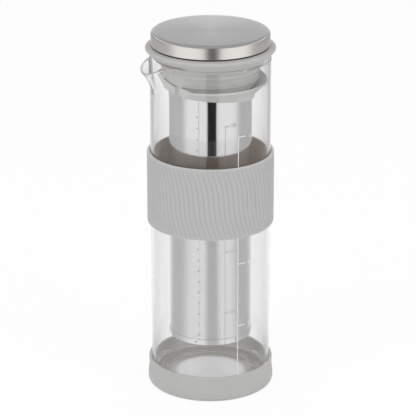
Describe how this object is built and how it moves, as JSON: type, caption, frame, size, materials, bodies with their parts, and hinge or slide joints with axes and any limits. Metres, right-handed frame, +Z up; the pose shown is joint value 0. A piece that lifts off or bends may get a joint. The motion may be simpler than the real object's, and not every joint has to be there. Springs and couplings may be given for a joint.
{
  "type": "cold brew coffee maker",
  "caption": "Tall glass carafe with pouring lip in a rubber boot and ribbed sleeve, with a hanging steel filter tube and a flanged stopper lid.",
  "frame": {"origin": "centre of the flat underside of the boot", "axes": "+Z up along the carafe's axis, -X towards the pouring lip, -Y towards the side with the measuring scale"},
  "size_m": [0.0995, 0.092, 0.266],
  "materials": {
    "silicone": "soft matt warm grey silicone",
    "glass": "clear borosilicate",
    "filter_steel": "finely etched satin steel",
    "cap_steel": "spun brushed steel",
    "core_plastic": "moulded"
  },
  "bodies": {
    "boot": {"base_boot": "silicone"},
    "carafe": {"glass_carafe": "glass"},
    "sleeve": {"grip_sleeve": "silicone"},
    "filter": {"filter_tube": "filter_steel", "filter_floor": "filter_steel", "filter_collar": "silicone"},
    "lid": {"lid_stopper": "silicone", "lid_core": "core_plastic", "lid_cap": "cap_steel"}
  },
  "joints": [
    {"name": "carafe_lift", "type": "slide", "parent": "boot", "child": "carafe", "axis": [0, 0, 1], "range_m": [0, 0.03]},
    {"name": "sleeve_slide", "type": "slide", "parent": "carafe", "child": "sleeve", "axis": [0, 0, 1], "range_m": [-0.104, 0.039]},
    {"name": "filter_lift", "type": "slide", "parent": "carafe", "child": "filter", "axis": [0, 0, 1], "range_m": [0, 0.22]},
    {"name": "lid_lift", "type": "slide", "parent": "filter", "child": "lid", "axis": [0, 0, 1], "range_m": [0, 0.04]}
  ]
}
